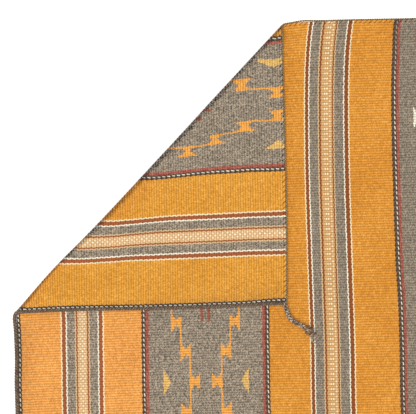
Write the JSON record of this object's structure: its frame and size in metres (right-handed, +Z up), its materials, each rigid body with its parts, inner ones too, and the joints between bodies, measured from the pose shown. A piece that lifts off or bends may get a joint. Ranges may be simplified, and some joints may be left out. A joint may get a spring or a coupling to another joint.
{
  "type": "navajo rug",
  "caption": "Flat hand-woven banded wool rug with twisted edge cords and corner tassels, lying with one corner folded over.",
  "frame": {"origin": "middle of the rug on its underside, on the surface that it lies on", "axes": "+X along the rug's length towards the flat right end, +Y along its width towards the side with the folded corner, +Z up"},
  "size_m": [1.7465, 1.0025, 0.0143],
  "materials": {
    "woven_wool": "ribbed hand-woven wool in bands of ochre orange, heathered grey, rust, peach, cream and dark brown",
    "end_cord_wool": "dark brown two-ply twisted wool",
    "side_cord_wool": "grey-brown twisted wool with orange loops of the weaving",
    "tassel_wool": "dark brown two-ply twisted wool, knotted, with loose ends"
  },
  "bodies": {
    "root": {"woven_field": "woven_wool", "end_cord_left": "end_cord_wool", "end_cord_right": "end_cord_wool", "side_cord_far": "side_cord_wool", "side_cord_near": "side_cord_wool", "tassel_folded": "tassel_wool", "tassel_right_far": "tassel_wool", "tassel_left_near": "tassel_wool", "tassel_right_near": "tassel_wool"}
  },
  "joints": []
}
